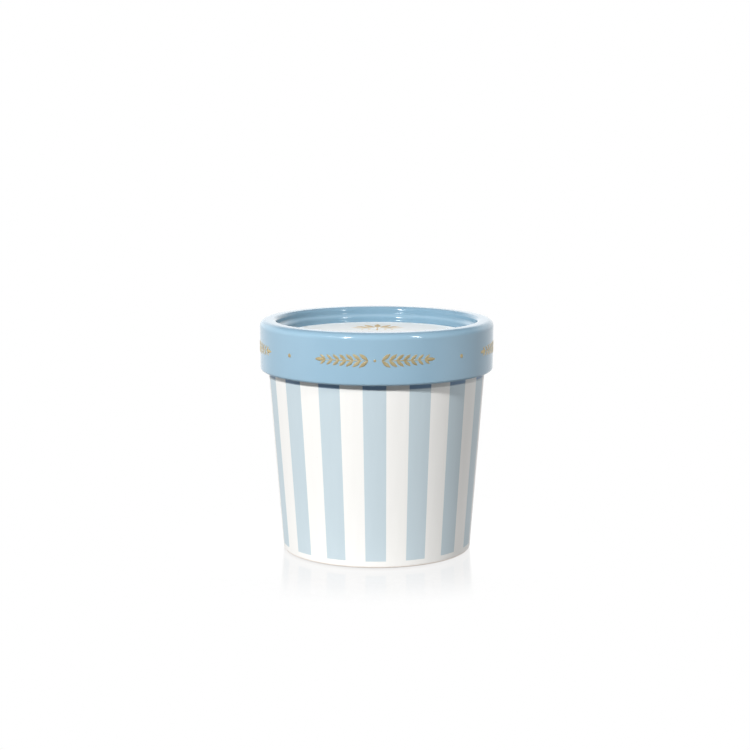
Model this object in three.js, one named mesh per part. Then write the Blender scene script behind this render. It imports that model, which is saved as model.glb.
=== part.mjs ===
// A lidded gelato cup in glazed ceramic: a round cup that widens towards its mouth, and a deep cap lid that
// sits over the cup's neck. The lid has a broad rim around a dished top with one step in its wall.
//
// Millimetres, +Z up. The cup stands on z = 0 with its axis on the Z axis, and its front faces -Y.
// Both pieces are turned shapes: each is one closed profile, written as corners of [radius, height, rounding].

import * as THREE from "three";

// The whole
const LID_RADIUS = 48; // widest, at the rim
const HEIGHT = 95.4; // floor to the top of the rim
const SKIRT_BOTTOM = 74.8; // lower edge of the lid, above the floor
const CLEARANCE = 0.3; // glaze to glaze, wherever the lid meets the cup

// Cup
const FOOT_RADIUS = 38.75; // outside of the wall, carried down to the floor
const WALL_TAPER = 0.0757; // growth in radius for each millimetre of height
const FOOT_ROUNDING = 1;
const FOOT_RING_WIDTH = 4.5; // the flat ring that the cup stands on
const FOOT_RECESS = 1.2; // how far the underside is hollowed inside that ring
const SHOULDER_ABOVE_SKIRT = 1; // the wall's taper ends this far inside the lid
const SHOULDER_DROP = 0.6; // height of the step from the wall in to the neck
const NECK_INSET = 0.3; // how much smaller the neck is than the wall below it
const MOUTH_ROUNDING = 1.2;

// Lid
const SKIRT_DRAFT = 0.2; // the skirt is this much smaller in radius at its lower edge
const SKIRT_EDGE_ROUNDING = 1.1;
const RIM_OUTER_ROUNDING = 2.7;
const RIM_WIDTH = 7;
const RIM_INNER_ROUNDING = 1.7;
const LEDGE_BELOW_RIM = 2.9; // a narrow sloping step around the dish, measured where it starts
const LEDGE_WIDTH = 1.7;
const LEDGE_DROP = 1; // how far the step slopes down to its inner edge
const LEDGE_COVE = 0.8; // the hollow rounding above the step
const LEDGE_ROUNDING = 1.8;
const DISH_DEPTH = 6.4; // rim to the flat panel
const DISH_FILLET = 1.2;
const PANEL_THICKNESS = 3.6;
const SMALL_FILLET = 0.4;

// Facets
const FACETS = 80; // around the axis
const ARC_STEP = Math.PI / 7; // most that one facet of a rounded corner turns

const wallRadius = (height) => FOOT_RADIUS + WALL_TAPER * height;

// The arc, tangent to both sides, that rounds the corner between two neighbours.
function roundedCorner(corner, before, after, rounding) {
  const back = before.clone().sub(corner).normalize();
  const ahead = after.clone().sub(corner).normalize();
  const opening = Math.acos(back.dot(ahead));
  const tangentLength = rounding / Math.tan(opening / 2);
  const middle = back.clone().add(ahead).normalize();
  const centre = middle.multiplyScalar(rounding / Math.sin(opening / 2)).add(corner);
  const start = back.clone().multiplyScalar(tangentLength).add(corner);
  const turn = (Math.PI - opening) * Math.sign(ahead.cross(back));
  const steps = Math.max(2, Math.ceil(Math.abs(turn) / ARC_STEP));
  return Array.from({ length: steps + 1 }, (_, k) =>
    start.clone().rotateAround(centre, (turn * k) / steps),
  );
}

// A profile from its corners. A corner with no rounding stays sharp.
function outline(corners) {
  const at = (i) => new THREE.Vector2(corners[i][0], corners[i][1]);
  return corners.flatMap(([, , rounding], i) =>
    rounding ? roundedCorner(at(i), at(i - 1), at(i + 1), rounding) : [at(i)],
  );
}

// A solid of revolution about Z. Its profile runs from the axis below, out and up, to the axis above.
function turned(corners) {
  return new THREE.LatheGeometry(outline(corners), FACETS).rotateX(Math.PI / 2);
}

function cupGeometry(neckTop) {
  const shoulder = SKIRT_BOTTOM + SHOULDER_ABOVE_SKIRT;
  const shoulderRadius = wallRadius(shoulder);
  const neckRadius = shoulderRadius - NECK_INSET;
  const ringInnerRadius = FOOT_RADIUS - FOOT_ROUNDING - FOOT_RING_WIDTH;
  return turned([
    [0, FOOT_RECESS],
    [ringInnerRadius - FOOT_RECESS, FOOT_RECESS, SMALL_FILLET],
    [ringInnerRadius, 0],
    [FOOT_RADIUS, 0, FOOT_ROUNDING],
    [shoulderRadius, shoulder],
    [neckRadius, shoulder + SHOULDER_DROP],
    [neckRadius, neckTop, MOUTH_ROUNDING],
    [0, neckTop],
  ]);
}

function lidGeometry(panelUnderside) {
  const bore = wallRadius(SKIRT_BOTTOM + SHOULDER_ABOVE_SKIRT) + CLEARANCE;
  const skirtRadius = LID_RADIUS - SKIRT_DRAFT;
  const lipRadius = LID_RADIUS - RIM_WIDTH;
  const dishRadius = lipRadius - LEDGE_WIDTH;
  const ledge = HEIGHT - LEDGE_BELOW_RIM;
  const panel = HEIGHT - DISH_DEPTH;
  return turned([
    [0, panelUnderside],
    [bore, panelUnderside, SMALL_FILLET],
    [bore, SKIRT_BOTTOM, SMALL_FILLET],
    [skirtRadius, SKIRT_BOTTOM, SKIRT_EDGE_ROUNDING],
    [LID_RADIUS, HEIGHT, RIM_OUTER_ROUNDING],
    [lipRadius, HEIGHT, RIM_INNER_ROUNDING],
    [lipRadius, ledge, LEDGE_COVE],
    [dishRadius, ledge - LEDGE_DROP, LEDGE_ROUNDING],
    [dishRadius, panel, DISH_FILLET],
    [0, panel],
  ]);
}

const whiteGlaze = new THREE.MeshStandardMaterial({
  color: 0xf6f4f1,
  roughness: 0.4,
  metalness: 0,
});
const blueGlaze = new THREE.MeshStandardMaterial({
  color: 0x98bcd2,
  roughness: 0.15,
  metalness: 0,
});

const panelUnderside = HEIGHT - DISH_DEPTH - PANEL_THICKNESS;

const cup = new THREE.Mesh(cupGeometry(panelUnderside - CLEARANCE), whiteGlaze);
cup.name = "cup";

const lid = new THREE.Mesh(lidGeometry(panelUnderside), blueGlaze);
lid.name = "lid";

const gelatoCup = new THREE.Group();
gelatoCup.name = "gelato_cup";
gelatoCup.add(cup, lid);

export default gelatoCup;
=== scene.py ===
"""A lidded gelato cup in glazed ceramic: a striped cup under a deep cap lid in pale blue, with gilt laurel.

Metres, +Z up, and the front faces -Y. Sizes are worked out in millimetres, and MM turns them to metres.
"""

import math

import bmesh
import bpy
from mathutils import Matrix, Vector


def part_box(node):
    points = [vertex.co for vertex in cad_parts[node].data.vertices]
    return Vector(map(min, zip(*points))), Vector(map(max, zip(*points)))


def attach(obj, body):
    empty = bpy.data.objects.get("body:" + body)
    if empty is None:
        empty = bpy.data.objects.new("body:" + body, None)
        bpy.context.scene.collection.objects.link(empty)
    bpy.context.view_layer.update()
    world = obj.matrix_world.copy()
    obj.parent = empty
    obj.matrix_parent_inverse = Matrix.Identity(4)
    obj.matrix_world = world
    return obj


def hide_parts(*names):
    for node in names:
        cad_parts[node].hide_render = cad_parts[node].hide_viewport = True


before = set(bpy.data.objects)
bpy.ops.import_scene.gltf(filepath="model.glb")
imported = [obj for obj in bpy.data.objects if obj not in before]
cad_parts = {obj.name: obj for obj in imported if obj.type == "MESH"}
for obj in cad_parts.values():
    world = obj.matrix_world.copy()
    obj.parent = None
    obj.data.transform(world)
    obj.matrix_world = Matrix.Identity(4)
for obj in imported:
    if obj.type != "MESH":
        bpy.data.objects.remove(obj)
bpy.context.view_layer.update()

MM = 0.001

# The frame's own sizes, in mm
CUP_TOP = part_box("cup")[1] / MM
LID_LOW, LID_TOP = (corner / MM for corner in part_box("lid"))
MOUTH_HEIGHT = CUP_TOP.z
SHOULDER_RADIUS = CUP_TOP.x
LID_RADIUS = LID_TOP.x
HEIGHT = LID_TOP.z
SKIRT_BOTTOM = LID_LOW.z

# Profile of the cup
WALL_TAPER = 0.0757  # growth in radius for each mm of height
SHOULDER_HEIGHT = SKIRT_BOTTOM + 1
SHOULDER_DROP = 0.6
NECK_INSET = 0.3
MOUTH_ROUNDING = 1.2
FOOT_RADIUS = SHOULDER_RADIUS - WALL_TAPER * SHOULDER_HEIGHT
FOOT_ROUNDING = 1
FOOT_RING_WIDTH = 4.5
FOOT_RING_ROUNDING = 0.3  # inside the ring
FOOT_RECESS = 1.2
GLAZE_LINE = 0.8  # height at which the glaze of the wall stops above the bare foot

# Profile of the lid
CLEARANCE = 0.3
SKIRT_DRAFT = 0.2
SKIRT_EDGE_ROUNDING = 1.1
RIM_WIDTH = 7
RIM_OUTER_ROUNDING = 2.7
RIM_INNER_ROUNDING = 1.7
LIP_RADIUS = LID_RADIUS - RIM_WIDTH
LEDGE_HEIGHT = HEIGHT - 2.9  # where the sloping step round the dish starts
LEDGE_WIDTH = 1.7
LEDGE_DROP = 1
LEDGE_COVE = 0.8  # the hollow rounding above the step
LEDGE_ROUNDING = 1.8
DISH_RADIUS = LIP_RADIUS - LEDGE_WIDTH
DISH_FILLET = 1.2
PANEL_HEIGHT = HEIGHT - 6.4
PANEL_THICKNESS = 3.6
PANEL_RADIUS = DISH_RADIUS - 0.7  # where the white field of the panel meets the blue
SMALL_FILLET = 0.4

# Rings that are cut into long stretches, so that no face is long
FLAT_RINGS = [8, 16, 24]  # radii on every disc
WALL_RINGS = [9.4 + 8.2 * step for step in range(9)]  # heights
SKIRT_RINGS = [80, 84, 88, 92]  # heights

# Decoration
STRIPES = 15
STRIPE_FOOT = 2.9  # the stripes stop this far above the floor
STRIPE_LEAN = math.radians(0.65)  # how far a stripe drifts to the right from the shoulder to the floor
LID_SHADOW_PAINT_BOTTOM = SKIRT_BOTTOM - 2.3  # a stripe is painted darker above this height, a painted shadow of the lid
LID_SHADOW_PAINT_FADE = 0.7  # height over which the painted shadow of the lid fades in
SPRIGS = 4
SPRIG_HEIGHT = 84.8  # the middle of the frieze on the skirt
SPRIG_REACH = 24.5  # from a sprig's middle to its tip, along the skirt
DOT_SIZE = 1.7  # between two sprigs
SPRAYS = 3

# Light of the surroundings, where 1 is pure white: what stands round the table, and the table itself. A ring
# goes round from the back, with azimuth from the front towards +X in degrees:
# (where the light starts to change, where it has changed, the light from there)
STUDIO_RING = [(-145, -115, 0.85), (-80, -50, 0.05), (50, 65, 0.62), (80, 95, 0.25), (105, 135, 1.39)]
TABLE_RING = [(-145, -115, 0.8), (-80, -45, 0.16), (45, 80, 1.04), (110, 150, 1.08)]
CEILING_LIGHT = 0.063
FLOOR_LIGHT = 0.25

TURN_STEPS = 360  # faces round the axis
ARC_STEP = math.radians(7)  # most that one face of a rounding turns

# Sockets of a Mix node go by number: the inputs for its factor, two numbers and two colours, and the outputs
FACTOR, NUMBER_A, NUMBER_B, COLOUR_A, COLOUR_B = 0, 2, 3, 6, 7
MIXED_NUMBER, MIXED_COLOUR = 0, 2


def hex_colour(code):
    """An sRGB hex value as linear RGBA."""
    channels = (int(code[i : i + 2], 16) / 255 for i in (1, 3, 5))
    linear = (c / 12.92 if c <= 0.04045 else ((c + 0.055) / 1.055) ** 2.4 for c in channels)
    return (*linear, 1.0)


def per(size):
    """The scale that gives a texture features of this size in mm."""
    return 1 / (size * MM)


# Materials


def add_node(tree, kind, inputs=None, **settings):
    """Adds a node with its settings. Each input is given a value, or a socket to link from."""
    node = tree.nodes.new(kind)
    for name, value in settings.items():
        setattr(node, name, value)
    for name, value in (inputs or {}).items():
        if isinstance(value, bpy.types.NodeSocket):
            tree.links.new(value, node.inputs[name])
        else:
            node.inputs[name].default_value = value
    return node


def new_material(name):
    """An empty node material, its tree, and the piece's own coordinates in metres."""
    material = bpy.data.materials.new(name)
    material.use_nodes = True
    tree = material.node_tree
    tree.nodes.clear()
    place = add_node(tree, "ShaderNodeTexCoord").outputs["Object"]
    return material, tree, place


def finish_material(tree, shader):
    add_node(tree, "ShaderNodeOutputMaterial", {"Surface": shader.outputs["BSDF"]})


def satin_glaze(name, thin, thick, speckle, painted_lid_shadow=None):
    """Fine earthenware under a satin transparent glaze, dipped and fired. It gives the eye a soft surface: no
    mirror image, a colour that drifts slightly where the glaze ran down the wall, a few pits, and a faint
    orange peel. When a colour for the top is given, the band of a stripe close under the lid is painted
    darker:
    a painted shadow of the lid."""
    material, tree, place = new_material(name)
    run_marks = add_node(tree, "ShaderNodeMapping", {"Vector": place, "Scale": (1, 1, 0.08)})
    drift = add_node(
        tree,
        "ShaderNodeTexNoise",
        {"Vector": run_marks.outputs["Vector"], "Scale": per(2.6), "Detail": 3, "Roughness": 0.6},
    )
    colour = add_node(
        tree,
        "ShaderNodeMix",
        {FACTOR: drift.outputs["Fac"], COLOUR_A: hex_colour(thin), COLOUR_B: hex_colour(thick)},
        data_type="RGBA",
    )
    pits = add_node(tree, "ShaderNodeTexVoronoi", {"Vector": place, "Scale": per(5.5)})
    pit_mask = add_node(
        tree,
        "ShaderNodeMapRange",
        {
            "Value": pits.outputs["Distance"],
            "From Min": 0.02,
            "From Max": 0.05,
            "To Min": speckle,
            "To Max": 0,
        },
    )
    pitted = add_node(
        tree,
        "ShaderNodeMix",
        {
            FACTOR: pit_mask.outputs["Result"],
            COLOUR_A: colour.outputs[MIXED_COLOUR],
            COLOUR_B: hex_colour("#C9BFB2"),
        },
        data_type="RGBA",
    )
    surface = pitted.outputs[MIXED_COLOUR]
    # Painted shadow of the lid: the band of the stripe close under the lid's skirt is painted a darker blue.
    if painted_lid_shadow:
        height = add_node(tree, "ShaderNodeSeparateXYZ", {"Vector": place}).outputs["Z"]
        lid_shadow_mask = add_node(
            tree,
            "ShaderNodeMapRange",
            {
                "Value": height,
                "From Min": LID_SHADOW_PAINT_BOTTOM * MM,
                "From Max": (LID_SHADOW_PAINT_BOTTOM + LID_SHADOW_PAINT_FADE) * MM,
            },
            interpolation_type="SMOOTHSTEP",
        )
        lid_shadowed = add_node(
            tree,
            "ShaderNodeMix",
            {
                FACTOR: lid_shadow_mask.outputs["Result"],
                COLOUR_A: surface,
                COLOUR_B: hex_colour(painted_lid_shadow),
            },
            data_type="RGBA",
        )
        surface = lid_shadowed.outputs[MIXED_COLOUR]
    peel = add_node(tree, "ShaderNodeTexNoise", {"Vector": place, "Scale": per(1.8), "Detail": 2})
    relief = add_node(
        tree,
        "ShaderNodeBump",
        {"Height": peel.outputs["Fac"], "Distance": 0.02 * MM, "Strength": 0.6},
    )
    gloss = add_node(
        tree,
        "ShaderNodeMapRange",
        {"Value": peel.outputs["Fac"], "To Min": 0.46, "To Max": 0.56},
    )
    shader = add_node(
        tree,
        "ShaderNodeBsdfPrincipled",
        {
            "Base Color": surface,
            "Roughness": gloss.outputs["Result"],
            "IOR": 1.5,
            "Specular IOR Level": 0.35,
            "Normal": relief.outputs["Normal"],
        },
    )
    finish_material(tree, shader)
    return material


def gloss_glaze(name, thin, running, level, dish_painted_shade):
    """Coloured earthenware glaze fired to full gloss. It gives the eye sharp, slightly wavy highlights, and a
    colour that changes across the profile: running on the skirt, painted darker on the rim and on the walls
    of the dish as painted shade, and painted lighter on the step in the dish as a painted light line."""
    material, tree, place = new_material(name)
    flat_place = add_node(tree, "ShaderNodeVectorMath", {0: place, 1: (1, 1, 0)}, operation="MULTIPLY")
    from_axis = add_node(tree, "ShaderNodeVectorMath", {0: flat_place.outputs["Vector"]}, operation="LENGTH")
    across = add_node(
        tree,
        "ShaderNodeMapRange",
        {"Value": from_axis.outputs["Value"], "From Min": 0, "From Max": LID_RADIUS * MM},
    )
    glaze_and_painted_light = add_node(tree, "ShaderNodeValToRGB", {"Fac": across.outputs["Result"]})
    stops = glaze_and_painted_light.color_ramp.elements
    stops[0].color = hex_colour(dish_painted_shade)
    stops[1].position = (LID_RADIUS - 0.3) / LID_RADIUS
    stops[1].color = hex_colour(running)
    # Painted shade and light within about a millimetre of each edge of the profile: darker on the walls of
    # the dish, lighter on the step between them, and darker on the rim
    for radius, code in (
        (DISH_RADIUS + 0.05, dish_painted_shade),
        (DISH_RADIUS + 0.5, thin),
        (LIP_RADIUS - 0.6, thin),
        (LIP_RADIUS - 0.05, dish_painted_shade),
        (LIP_RADIUS + 0.9, level),
        (LID_RADIUS - 1.1, level),
    ):
        stops.new(radius / LID_RADIUS).color = hex_colour(code)
    pool = add_node(tree, "ShaderNodeTexNoise", {"Vector": place, "Scale": per(14), "Detail": 2})
    drift = add_node(
        tree,
        "ShaderNodeMix",
        {FACTOR: pool.outputs["Fac"], COLOUR_A: hex_colour("#FFFFFF"), COLOUR_B: hex_colour("#F6F8F9")},
        data_type="RGBA",
    )
    colour = add_node(
        tree,
        "ShaderNodeMix",
        {FACTOR: 1.0, COLOUR_A: glaze_and_painted_light.outputs["Color"], COLOUR_B: drift.outputs[MIXED_COLOUR]},
        data_type="RGBA",
        blend_type="MULTIPLY",
    )
    wave = add_node(tree, "ShaderNodeTexNoise", {"Vector": place, "Scale": per(11), "Detail": 1})
    peel = add_node(tree, "ShaderNodeTexNoise", {"Vector": place, "Scale": per(1.4), "Detail": 1})
    swell = add_node(
        tree,
        "ShaderNodeBump",
        {"Height": wave.outputs["Fac"], "Distance": 0.02 * MM, "Strength": 0.5},
    )
    relief = add_node(
        tree,
        "ShaderNodeBump",
        {
            "Height": peel.outputs["Fac"],
            "Distance": 0.003 * MM,
            "Strength": 0.5,
            "Normal": swell.outputs["Normal"],
        },
    )
    gloss = add_node(
        tree,
        "ShaderNodeMapRange",
        {"Value": pool.outputs["Fac"], "To Min": 0.07, "To Max": 0.1},
    )
    shader = add_node(
        tree,
        "ShaderNodeBsdfPrincipled",
        {
            "Base Color": colour.outputs[MIXED_COLOUR],
            "Roughness": gloss.outputs["Result"],
            "IOR": 1.5,
            "Normal": relief.outputs["Normal"],
        },
    )
    finish_material(tree, shader)
    return material


def bare_biscuit():
    """Unglazed earthenware biscuit, wiped clean so that the foot doesn't stick in the kiln. It gives the eye
    a warm, dry, chalky edge under the glaze."""
    material, tree, place = new_material("bare_biscuit")
    grain = add_node(tree, "ShaderNodeTexNoise", {"Vector": place, "Scale": per(0.5), "Detail": 4})
    colour = add_node(
        tree,
        "ShaderNodeMix",
        {FACTOR: grain.outputs["Fac"], COLOUR_A: hex_colour("#FBF3EC"), COLOUR_B: hex_colour("#F3E9DF")},
        data_type="RGBA",
    )
    relief = add_node(
        tree,
        "ShaderNodeBump",
        {"Height": grain.outputs["Fac"], "Distance": 0.05 * MM, "Strength": 0.8},
    )
    shader = add_node(
        tree,
        "ShaderNodeBsdfPrincipled",
        {
            "Base Color": colour.outputs[MIXED_COLOUR],
            "Roughness": 0.9,
            "Normal": relief.outputs["Normal"],
        },
    )
    finish_material(tree, shader)
    return material


def gold_lustre(name, pale, deep):
    """Gold lustre painted on the fired glaze and fired again. It gives the eye a satin metal that goes from
    pale straw to a redder gold with the thickness of the brush mark."""
    material, tree, place = new_material(name)
    brush = add_node(tree, "ShaderNodeTexNoise", {"Vector": place, "Scale": per(4), "Detail": 3})
    colour = add_node(
        tree,
        "ShaderNodeMix",
        {FACTOR: brush.outputs["Fac"], COLOUR_A: hex_colour(pale), COLOUR_B: hex_colour(deep)},
        data_type="RGBA",
    )
    worn = add_node(tree, "ShaderNodeTexNoise", {"Vector": place, "Scale": per(0.8), "Detail": 2})
    gloss = add_node(
        tree,
        "ShaderNodeMapRange",
        {"Value": worn.outputs["Fac"], "To Min": 0.42, "To Max": 0.6},
    )
    shader = add_node(
        tree,
        "ShaderNodeBsdfPrincipled",
        {
            "Base Color": colour.outputs[MIXED_COLOUR],
            "Roughness": gloss.outputs["Result"],
            "Metallic": 0.5,
        },
    )
    finish_material(tree, shader)
    return material


# Turned ceramic


def rounded_wire(corners):
    """A wire through corners of (radius, height, rounding) in mm, with arcs where a rounding is given."""
    bm = bmesh.new()
    wire = [bm.verts.new((radius * MM, 0, height * MM)) for radius, height, _ in corners]
    for pair in zip(wire, wire[1:]):
        bm.edges.new(pair)
    sides = zip(wire, corners, wire[1:], corners[1:], wire[2:])
    rounded = []
    for before, _, corner, (_, _, rounding), after in sides:
        if rounding:
            opening = (before.co - corner.co).angle(after.co - corner.co)
            rounded.append((corner, rounding * MM / math.tan(opening / 2), math.pi - opening))
    for corner, tangent_length, bend in rounded:
        bmesh.ops.bevel(
            bm,
            geom=[corner],
            offset=tangent_length,
            offset_type="OFFSET",
            affect="VERTICES",
            segments=max(3, math.ceil(bend / ARC_STEP)),
            profile=0.5,
            material=-1,
        )
    return bm


def add_rings(bm, heights=(), radii=()):
    """Cuts the wire where it crosses these heights and radii, in mm."""
    planes = [((0, 0, height * MM), (0, 0, 1)) for height in heights]
    planes += [((radius * MM, 0, 0), (1, 0, 0)) for radius in radii]
    for point, normal in planes:
        bmesh.ops.bisect_plane(bm, geom=bm.verts[:] + bm.edges[:], plane_co=point, plane_no=normal)


def turn(bm):
    """Turns the wire about Z into a closed body with its faces out."""
    bmesh.ops.spin(
        bm,
        geom=bm.verts[:] + bm.edges[:],
        cent=(0, 0, 0),
        axis=(0, 0, 1),
        dvec=(0, 0, 0),
        angle=math.tau,
        steps=TURN_STEPS,
        use_merge=True,
        use_normal_flip=False,
        use_duplicate=False,
    )
    rounding_error = 0.001 * MM
    bmesh.ops.remove_doubles(bm, verts=bm.verts, dist=rounding_error)
    bmesh.ops.recalc_face_normals(bm, faces=bm.faces)


def piece_from(bm, name, materials):
    """Ends a bmesh as a smooth object at the origin that rides on the one body."""
    for face in bm.faces:
        face.smooth = True
    mesh = bpy.data.meshes.new(name)
    bm.to_mesh(mesh)
    bm.free()
    for material in materials:
        mesh.materials.append(material)
    piece = bpy.data.objects.new(name, mesh)
    bpy.context.scene.collection.objects.link(piece)
    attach(piece, "root")
    return piece


def cup_body():
    """The cup: white glaze with blue stripes fired under it, standing on a bare foot ring."""
    neck_radius = SHOULDER_RADIUS - NECK_INSET
    ring_inner = FOOT_RADIUS - FOOT_ROUNDING - FOOT_RING_WIDTH
    bm = rounded_wire(
        [
            (0, FOOT_RECESS, 0),
            (ring_inner - FOOT_RECESS, FOOT_RECESS, SMALL_FILLET),
            (ring_inner, 0, FOOT_RING_ROUNDING),
            (FOOT_RADIUS, 0, FOOT_ROUNDING),
            (SHOULDER_RADIUS, SHOULDER_HEIGHT, 0),
            (neck_radius, SHOULDER_HEIGHT + SHOULDER_DROP, 0),
            (neck_radius, MOUTH_HEIGHT, MOUTH_ROUNDING),
            (0, MOUTH_HEIGHT, 0),
        ]
    )
    over_the_foot = 1.6  # keeps the shading of the rounded foot off the wall
    ring_middle = 36
    heights = [GLAZE_LINE, over_the_foot, STRIPE_FOOT, *WALL_RINGS]
    add_rings(bm, heights=heights, radii=[*FLAT_RINGS, ring_middle])
    turn(bm)
    white, blue, bare = range(3)
    half_stripe = math.pi / STRIPES / 2
    wiped_inside_ring = 0.2
    for face in bm.faces:
        middle = face.calc_center_median() / MM
        radius = math.hypot(middle.x, middle.y)
        on_foot = middle.z < GLAZE_LINE and radius > ring_inner - wiped_inside_ring
        on_wall = radius > FOOT_RADIUS and STRIPE_FOOT < middle.z < MOUTH_HEIGHT
        round_the_wall = math.atan2(middle.x, -middle.y)
        from_stripe = math.remainder(round_the_wall, math.tau / STRIPES)
        if on_foot:
            face.material_index = bare
        elif on_wall and abs(from_stripe) < half_stripe:
            face.material_index = blue
        else:
            face.material_index = white
    for vert in bm.verts:
        lean = STRIPE_LEAN * (0.5 - vert.co.z / MM / SHOULDER_HEIGHT)
        vert.co.rotate(Matrix.Rotation(lean, 3, "Z"))
    materials = [
        satin_glaze("white_satin_glaze", "#F2F1EE", "#EDECE9", 0.25),
        # The last colour is a painted shadow of the lid on the top of each blue stripe.
        satin_glaze("blue_underglaze_stripe", "#C5D3DA", "#BFCED5", 0.1, painted_lid_shadow="#84A1C0"),
        bare_biscuit(),
    ]
    piece = piece_from(bm, "cup_body", materials)
    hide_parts("cup")


def lid_body():
    """The lid: blue gloss glaze all over, with a white field on the flat of its dish."""
    bore = SHOULDER_RADIUS + CLEARANCE
    underside = PANEL_HEIGHT - PANEL_THICKNESS
    bm = rounded_wire(
        [
            (0, underside, 0),
            (bore, underside, SMALL_FILLET),
            (bore, SKIRT_BOTTOM, SMALL_FILLET),
            (LID_RADIUS - SKIRT_DRAFT, SKIRT_BOTTOM, SKIRT_EDGE_ROUNDING),
            (LID_RADIUS, HEIGHT, RIM_OUTER_ROUNDING),
            (LIP_RADIUS, HEIGHT, RIM_INNER_ROUNDING),
            (LIP_RADIUS, LEDGE_HEIGHT, LEDGE_COVE),
            (DISH_RADIUS, LEDGE_HEIGHT - LEDGE_DROP, LEDGE_ROUNDING),
            (DISH_RADIUS, PANEL_HEIGHT, DISH_FILLET),
            (0, PANEL_HEIGHT, 0),
        ]
    )
    near_panel_edge, rim_middle = 32, 44
    radii = [*FLAT_RINGS, near_panel_edge, PANEL_RADIUS, rim_middle]
    add_rings(bm, heights=SKIRT_RINGS, radii=radii)
    turn(bm)
    blue, white = range(2)
    for face in bm.faces:
        middle = face.calc_center_median() / MM
        on_top = middle.z > PANEL_HEIGHT - PANEL_THICKNESS / 2
        on_panel = on_top and math.hypot(middle.x, middle.y) < PANEL_RADIUS
        face.material_index = white if on_panel else blue
    materials = [
        # thin is a painted light line on the step in the dish; level and the darkest colour are painted shade
        # on the rim and in the dish.
        gloss_glaze("blue_gloss_glaze", thin="#95B3C6", running="#98B8CC", level="#8CABBF", dish_painted_shade="#7B9BAF"),
        # The cool tint of the panel's white is painted: it stands in for blue light bounced from the walls of
        # the dish.
        satin_glaze("white_panel_glaze", "#F7FAFA", "#F3F6F6", 0.1),
    ]
    piece = piece_from(bm, "lid_body", materials)
    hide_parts("lid")


# Gilt laurel


def gilt_leaf(bm, length, width, at=(0, 0), heading=0.0, steps=8, thickness=0.14):
    """A closed lens with two pointed ends on the XY plane. It starts at `at`, in mm, and follows its
    heading."""
    leaf = bmesh.ops.create_uvsphere(bm, u_segments=8, v_segments=steps, radius=1)["verts"]
    for vert in leaf:
        across, up, along = vert.co
        pointed = math.sqrt(max(0, 1 - along**2))
        lens = Vector(((along + 1) * length, across * pointed * width, up * pointed * thickness))
        vert.co = lens * (MM / 2)
    place = Matrix.Translation((at[0] * MM, at[1] * MM, 0)) @ Matrix.Rotation(heading, 4, "Z")
    bmesh.ops.transform(bm, matrix=place, verts=leaf)


def gilt_berry(bm, size, at=(0, 0), thickness=0.2):
    """A low round drop of gold on the XY plane."""
    flattened = Matrix.Diagonal((1, 1, thickness / size, 1))
    shape = Matrix.Translation((at[0] * MM, at[1] * MM, 0)) @ flattened
    bmesh.ops.create_uvsphere(bm, u_segments=12, v_segments=6, radius=size * MM / 2, matrix=shape)


def wrap_on_skirt(bm, middle_angle):
    """Bends what lies on the XY plane round the skirt: X runs to the right, Y up, and Z out of the glaze."""
    for vert in bm.verts:
        height = SPRIG_HEIGHT + vert.co.y / MM
        skirt = LID_RADIUS - SKIRT_DRAFT * (HEIGHT - height) / (HEIGHT - SKIRT_BOTTOM)
        angle = middle_angle + vert.co.x / MM / skirt
        radius = (skirt + vert.co.z / MM) * MM
        vert.co = (radius * math.sin(angle), -radius * math.cos(angle), height * MM)


def join_into(bm, part):
    """Adds one bmesh to another."""
    mesh = bpy.data.meshes.new("part")
    part.to_mesh(mesh)
    part.free()
    bm.from_mesh(mesh)
    bpy.data.meshes.remove(mesh)


def laurel_sprig(bm):
    """Two laurel branches that grow to the left and right from a dot in the middle, drawn flat."""
    stalk_start, stalk_length, stalk_width = 1.6, SPRIG_REACH - 4, 0.45
    leaf_length, leaf_width, leaf_lean = 4.4, 1.5, math.radians(38)
    pairs, shrink_per_pair = 7, 0.05
    tip_leaf = SPRIG_REACH - leaf_length
    first_pair, last_pair = 2.6, tip_leaf - 0.4
    pitch = (last_pair - first_pair) / (pairs - 1)
    middle_dot = 1.1
    for side in (1, -1):
        outward = 0 if side == 1 else math.pi
        gilt_leaf(bm, stalk_length, stalk_width, at=(side * stalk_start, 0), heading=outward, steps=48)
        for pair in range(pairs):
            foot = (side * (first_pair + pitch * pair), 0)
            shrink = 1 - shrink_per_pair * pair
            for lean in (leaf_lean, -leaf_lean):
                gilt_leaf(bm, leaf_length * shrink, leaf_width * shrink, foot, outward + side * lean)
        gilt_leaf(bm, leaf_length, leaf_width, at=(side * tip_leaf, 0), heading=outward)
    gilt_berry(bm, middle_dot)


def skirt_frieze():
    """Laurel sprigs round the skirt with a dot between each two."""
    bm = bmesh.new()
    for index in range(SPRIGS):
        angle = math.tau * index / SPRIGS
        sprig = bmesh.new()
        laurel_sprig(sprig)
        wrap_on_skirt(sprig, angle)
        join_into(bm, sprig)
        dot = bmesh.new()
        gilt_berry(dot, DOT_SIZE)
        wrap_on_skirt(dot, angle + math.pi / SPRIGS)
        join_into(bm, dot)
    piece = piece_from(bm, "skirt_laurel", [gold_lustre("gold_lustre_on_blue", "#E9DDB3", "#A88F5E")])


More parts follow.
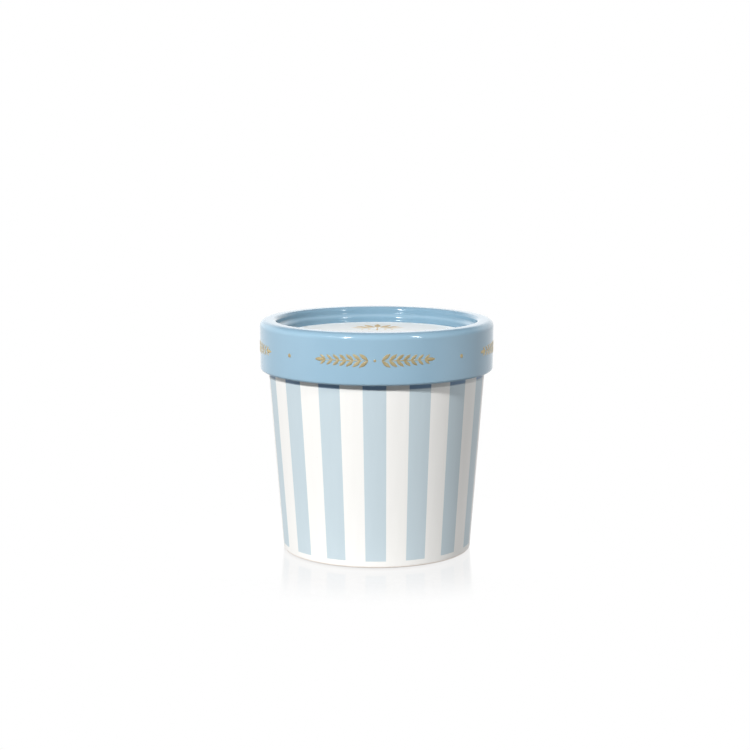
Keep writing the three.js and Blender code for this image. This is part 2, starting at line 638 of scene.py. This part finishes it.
def leaf_spray(bm):
    """A fan of leaves over one stalk, drawn flat and growing along Y from the middle of the panel."""
    up = math.pi / 2
    stalk_start, stalk_length, stalk_width = 11.5, 7.5, 0.9
    fan_middle, leaf_start, leaf_length, leaf_width = 17.5, 2.6, 11.5, 2.7
    leaves_a_side, between_leaves, shrink_per_leaf = 3, math.radians(25), 0.07
    berries = [(1.3, 3.4, 15.2), (1.1, 6.2, 14.6)]  # (size, out to the side, up)
    gilt_leaf(bm, stalk_length, stalk_width, at=(0, stalk_start), heading=up)
    for step in range(-leaves_a_side, leaves_a_side + 1):
        heading = up - between_leaves * step
        foot = (leaf_start * math.cos(heading), fan_middle + leaf_start * math.sin(heading))
        shrink = 1 - shrink_per_leaf * abs(step)
        gilt_leaf(bm, leaf_length * shrink, leaf_width * shrink, foot, heading, steps=12)
    for side in (1, -1):
        for size, out, height in berries:
            gilt_berry(bm, size, at=(side * out, height))


def panel_sprays():
    """Three leaf sprays round a flower on the flat of the lid."""
    bm = bmesh.new()
    for index in range(SPRAYS):
        spray = bmesh.new()
        leaf_spray(spray)
        turned = Matrix.Rotation(math.tau * index / SPRAYS, 4, "Z")
        bmesh.ops.transform(spray, matrix=turned, verts=spray.verts)
        join_into(bm, spray)
    petals, petal_start, petal_length, petal_width = 6, 1.4, 5, 2
    flower_eye = 2
    for petal in range(petals):
        heading = math.tau * (petal + 0.5) / petals
        foot = (petal_start * math.cos(heading), petal_start * math.sin(heading))
        gilt_leaf(bm, petal_length, petal_width, foot, heading)
    gilt_berry(bm, flower_eye)
    bmesh.ops.translate(bm, verts=bm.verts, vec=(0, 0, PANEL_HEIGHT * MM))
    piece = piece_from(bm, "panel_sprays", [gold_lustre("gold_lustre_on_white", "#FBE3B8", "#E6C690")])


# Studio


def pale_floor():
    """A pale glossy acrylic table that thins out into the white round it. It gives the eye a faint mirror
    image, and a soft shadow that is painted: it glows a little less than the white round it and fades out
    away from the cup. It looks white, and it lights the cup less than it looks."""
    radius, fade_start, fade_end = 900, 45, 95
    # seen_glow, lower than the white background, is a painted soft shadow round the cup
    seen_glow, lighting_glow = 0.785, 0.5
    bm = bmesh.new()
    bmesh.ops.create_circle(bm, cap_ends=True, segments=128, radius=radius * MM)
    mesh = bpy.data.meshes.new("floor")
    bm.to_mesh(mesh)
    bm.free()
    floor = bpy.data.objects.new("floor", mesh)
    bpy.context.scene.collection.objects.link(floor)
    material, tree, place = new_material("white_acrylic_table")
    distance = add_node(tree, "ShaderNodeVectorMath", {0: place}, operation="LENGTH")
    solid = add_node(
        tree,
        "ShaderNodeMapRange",
        {
            "Value": distance.outputs["Value"],
            "From Min": fade_start * MM,
            "From Max": fade_end * MM,
            "To Min": 1,
            "To Max": 0,
        },
        interpolation_type="SMOOTHSTEP",
    )
    lighting = add_node(tree, "ShaderNodeLightPath").outputs["Is Diffuse Ray"]
    glow = add_node(
        tree, "ShaderNodeMix", {FACTOR: lighting, NUMBER_A: seen_glow, NUMBER_B: lighting_glow}
    )
    shader = add_node(
        tree,
        "ShaderNodeBsdfPrincipled",
        {
            "Base Color": (0, 0, 0, 1),
            "Roughness": 0.12,
            "IOR": 1.2,
            "Emission Color": (1, 1, 1, 1),
            "Emission Strength": glow.outputs[MIXED_NUMBER],
            "Alpha": solid.outputs["Result"],
        },
    )
    finish_material(tree, shader)
    mesh.materials.append(material)


def white_surroundings():
    """A white background to look at. What lights the cup is a studio: bright at the left and behind, a soft
    panel at the right, dim in front, above and straight below."""
    world = bpy.data.worlds.new("white_studio")
    bpy.context.scene.world = world
    world.use_nodes = True
    tree = world.node_tree
    tree.nodes.clear()
    toward = add_node(tree, "ShaderNodeTexCoord").outputs["Generated"]
    split = add_node(tree, "ShaderNodeSeparateXYZ", {"Vector": toward}).outputs
    frontward = add_node(tree, "ShaderNodeMath", {0: split["Y"], 1: -1}, operation="MULTIPLY")
    heading = add_node(
        tree, "ShaderNodeMath", {0: split["X"], 1: frontward.outputs["Value"]}, operation="ARCTAN2"
    )
    in_degrees = {0: heading.outputs["Value"], 1: math.degrees(1)}
    azimuth = add_node(tree, "ShaderNodeMath", in_degrees, operation="MULTIPLY").outputs["Value"]
    rings = []
    for ring in (STUDIO_RING, TABLE_RING):
        light = level = ring[-1][2]
        for start, end, next_level in ring:
            change = add_node(
                tree,
                "ShaderNodeMapRange",
                {
                    "Value": azimuth,
                    "From Min": start,
                    "From Max": end,
                    "To Min": 0,
                    "To Max": next_level - level,
                },
                interpolation_type="SMOOTHSTEP",
            ).outputs["Result"]
            light = add_node(tree, "ShaderNodeMath", {0: light, 1: change}, operation="ADD").outputs["Value"]
            level = next_level
        rings.append(light)
    light, table = rings
    # By height in the sky, from -1 to 1: (where the light starts to change, where it has changed, the light)
    layers = [
        (0.34, 0.64, CEILING_LIGHT),
        (0.06, -0.06, table),
        (-0.26, -0.57, FLOOR_LIGHT),
    ]
    for start, end, beyond in layers:
        share = add_node(
            tree,
            "ShaderNodeMapRange",
            {"Value": split["Z"], "From Min": start, "From Max": end},
            interpolation_type="SMOOTHSTEP",
        )
        mixed = {FACTOR: share.outputs["Result"], NUMBER_A: light, NUMBER_B: beyond}
        light = add_node(tree, "ShaderNodeMix", mixed).outputs[MIXED_NUMBER]
    seen = add_node(tree, "ShaderNodeLightPath").outputs["Is Camera Ray"]
    strength = add_node(tree, "ShaderNodeMix", {FACTOR: seen, NUMBER_A: light, NUMBER_B: 1.0})
    sky = add_node(
        tree,
        "ShaderNodeBackground",
        {"Color": (1, 1, 1, 1), "Strength": strength.outputs[MIXED_NUMBER]},
    )
    add_node(tree, "ShaderNodeOutputWorld", {"Surface": sky.outputs["Background"]})


def soft_box(name, azimuth, elevation, distance, width, height, gives, lights=True, shines=True):
    """A rectangular light that faces the cup. Azimuth runs from the front towards +X, in degrees, and sizes
    are in mm. A white sheet that faces it and has no other light shows `gives` times pure white. A lamp with
    `shines` off leaves no highlight on the glaze, and has to stand behind the lamp that makes it."""
    aim_height = 60
    light = bpy.data.lights.new(name, "AREA")
    light.shape = "RECTANGLE"
    light.size = width * MM
    light.size_y = height * MM
    light.energy = gives * (math.pi * distance * MM) ** 2
    azimuth, elevation = math.radians(azimuth), math.radians(elevation)
    away = Vector(
        (
            math.sin(azimuth) * math.cos(elevation),
            -math.cos(azimuth) * math.cos(elevation),
            math.sin(elevation),
        )
    )
    lamp = bpy.data.objects.new(name, light)
    lamp.visible_diffuse = lights
    lamp.visible_glossy = shines
    lamp.location = Vector((0, 0, aim_height * MM)) + away * distance * MM
    lamp.rotation_euler = away.to_track_quat("Z", "Y").to_euler()
    bpy.context.scene.collection.objects.link(lamp)


def studio_light():
    """A key from the front left and a weaker second from the front right. Each lights from a small lamp, so
    that the lid's shadow is sharp, and shines from a tall strip. The tail draws out the key's highlight."""
    # name, azimuth, elevation, distance, width, height, gives
    soft_box("key", -29.2, 34, 2200, 165, 220, 1.02, shines=False)
    soft_box("key_shine", -29.9, 34, 2000, 160, 700, 0.4, lights=False)
    soft_box("key_tail", -40, 35, 2000, 700, 160, 0.07)
    soft_box("second", 30, 36, 2200, 200, 200, 0.235, shines=False)
    soft_box("second_shine", 44.6, 36, 2000, 140, 700, 0.22, lights=False)


def main_camera():
    """Looks slightly down on the cup from 0.75 m."""
    distance, height = 750, 188.1
    turn_to_right, pitch = math.radians(0.82), math.radians(8.806)
    focal_px, frame_px, axis_right_of_middle_px = 1839.9, 750, 1.67
    camera = bpy.data.cameras.new("camera")
    camera.sensor_fit = "HORIZONTAL"
    camera.sensor_width = 36
    camera.lens = focal_px / frame_px * camera.sensor_width
    camera.shift_x = -axis_right_of_middle_px / frame_px
    camera.clip_start = 10 * MM
    holder = bpy.data.objects.new("camera", camera)
    place = (distance * math.sin(turn_to_right), -distance * math.cos(turn_to_right), height)
    holder.location = Vector(place) * MM
    holder.rotation_euler = (math.pi / 2 - pitch, 0, turn_to_right)
    bpy.context.scene.collection.objects.link(holder)
    bpy.context.scene.camera = holder
    bpy.context.scene.view_settings.view_transform = "Standard"


cup_body()
lid_body()
skirt_frieze()
panel_sprays()
pale_floor()
white_surroundings()
studio_light()
main_camera()

bpy.context.view_layer.update()
